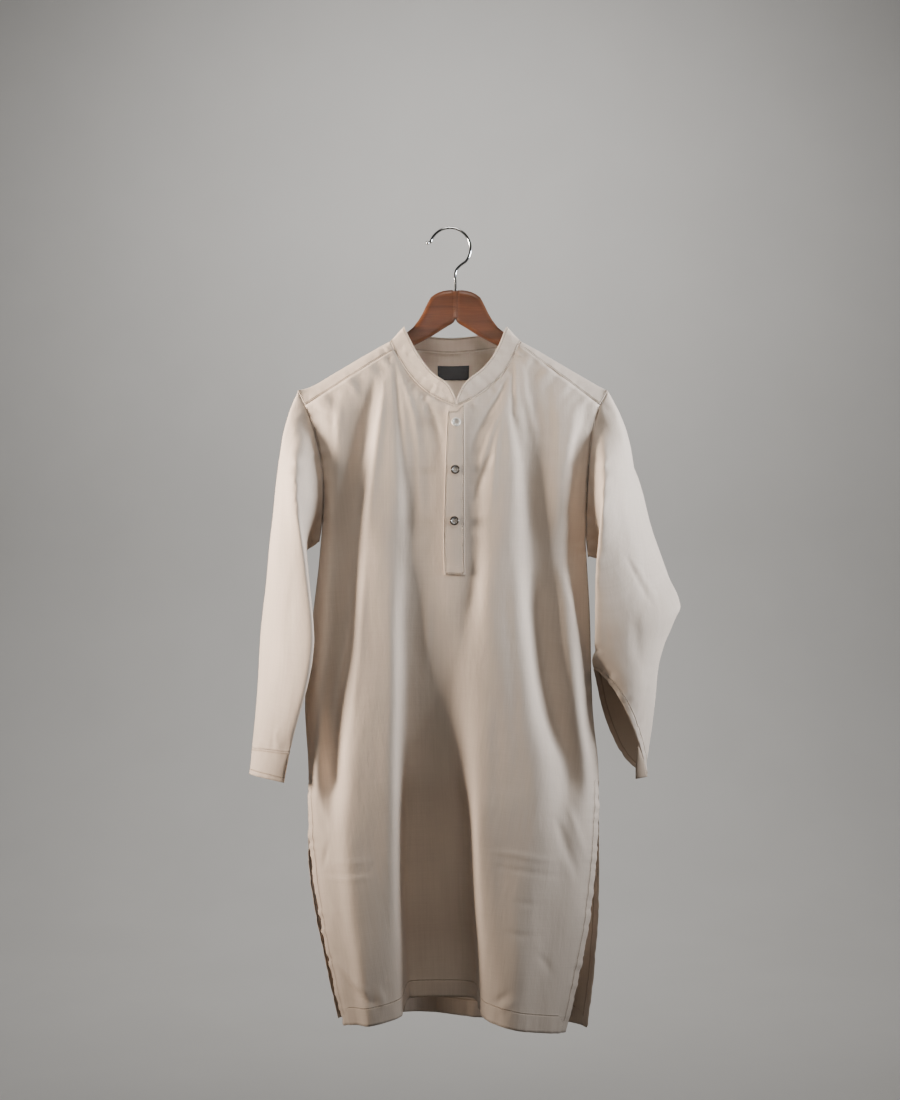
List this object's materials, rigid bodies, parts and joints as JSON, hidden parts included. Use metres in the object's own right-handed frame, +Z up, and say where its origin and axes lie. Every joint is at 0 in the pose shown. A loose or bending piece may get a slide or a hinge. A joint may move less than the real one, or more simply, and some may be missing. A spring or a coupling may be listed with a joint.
{
  "type": "kurta on wooden hanger",
  "caption": "Long cream cotton kurta with a stand-up collar band, buttoned placket and side slits, hanging on a wooden hanger with a wire hook.",
  "frame": {"origin": "inside of the crown of the hanger's wire hook, where it rests on its rail", "axes": "+Z up, -Y out of the garment's front, +X towards the wearer's left"},
  "size_m": [0.6408, 0.1563, 1.1797],
  "materials": {
    "cotton": "fine plain weave, matt with a slight sheen",
    "satin": "smooth black satin",
    "shell": "pale pearly shell, semi-gloss",
    "wood": "red-brown, satin varnish",
    "wire": "polished"
  },
  "bodies": {
    "root": {"back": "cotton", "button_1": "shell", "button_2": "shell", "button_3": "shell", "collar": "cotton", "cuff_right": "cotton", "front_chest_left": "cotton", "front_chest_right": "cotton", "front_middle": "cotton", "front_skirt": "cotton", "hanger_arm_left": "wood", "hanger_arm_right": "wood", "hanger_hook": "wire", "label": "satin", "placket": "cotton", "sleeve_left": "cotton", "sleeve_right": "cotton", "yoke": "cotton"}
  },
  "joints": []
}
